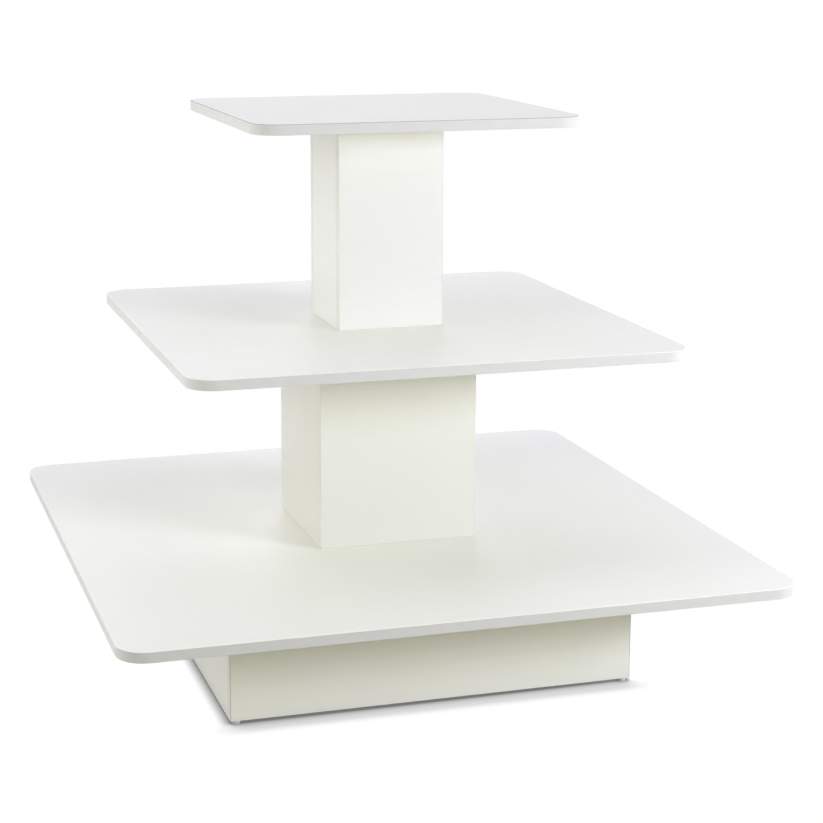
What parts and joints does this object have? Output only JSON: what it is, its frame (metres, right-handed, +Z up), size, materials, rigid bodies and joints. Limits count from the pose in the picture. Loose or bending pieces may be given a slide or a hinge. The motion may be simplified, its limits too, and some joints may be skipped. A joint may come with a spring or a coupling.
{
  "type": "tiered display table",
  "caption": "Free-standing display table with square round-cornered tiers that shrink upwards, carried on square box columns over a box plinth.",
  "frame": {"origin": "on the floor, at the middle of the table's footprint", "axes": "+Z up; the front looks along -Y; +X to the right seen from the front"},
  "size_m": [1.2192, 1.2192, 1.0477],
  "materials": {
    "board": "white melamine faces, satin, over particleboard",
    "edge_band": "satin white plastic edge band",
    "softwood": "planed softwood, unfinished",
    "dowel": "turned beech, unfinished",
    "steel": "zinc plated",
    "glide": "moulded off-white plastic, satin"
  },
  "bodies": {
    "root": {"bottom_tier_board": "board", "bottom_tier_edge_band": "edge_band", "middle_tier_board": "board", "middle_tier_edge_band": "edge_band", "top_tier_board": "board", "top_tier_edge_band": "edge_band", "glide_nails": "steel", "glide_pads": "glide", "lower_column_back_edge_bands": "edge_band", "lower_column_back_panel": "board", "lower_column_cleat_screws": "steel", "lower_column_dowels": "dowel", "lower_column_foot_left_cleat": "softwood", "lower_column_foot_right_cleat": "softwood", "lower_column_foot_screws": "steel", "lower_column_front_edge_bands": "edge_band", "lower_column_front_panel": "board", "lower_column_left_panel": "board", "lower_column_right_panel": "board", "lower_column_top_left_cleat": "softwood", "lower_column_top_right_cleat": "softwood", "lower_column_top_screws": "steel", "plinth_back_cleat": "softwood", "plinth_back_end_bands": "edge_band", "plinth_back_left_corner_block": "softwood", "plinth_back_panel": "board", "plinth_back_right_corner_block": "softwood", "plinth_bottom_edge_bands": "edge_band", "plinth_cleat_screws": "steel", "plinth_corner_block_screws": "steel", "plinth_deck_screws": "steel", "plinth_dowels": "dowel", "plinth_front_cleat": "softwood", "plinth_front_end_bands": "edge_band", "plinth_front_left_corner_block": "softwood", "plinth_front_panel": "board", "plinth_front_right_corner_block": "softwood", "plinth_left_cleat": "softwood", "plinth_left_panel": "board", "plinth_left_stretcher": "board", "plinth_right_cleat": "softwood", "plinth_right_panel": "board", "plinth_right_stretcher": "board", "upper_column_back_edge_bands": "edge_band", "upper_column_back_panel": "board", "upper_column_cleat_screws": "steel", "upper_column_dowels": "dowel", "upper_column_foot_left_cleat": "softwood", "upper_column_foot_right_cleat": "softwood", "upper_column_foot_screws": "steel", "upper_column_front_edge_bands": "edge_band", "upper_column_front_panel": "board", "upper_column_left_panel": "board", "upper_column_right_panel": "board", "upper_column_top_left_cleat": "softwood", "upper_column_top_right_cleat": "softwood", "upper_column_top_screws": "steel"}
  },
  "joints": []
}
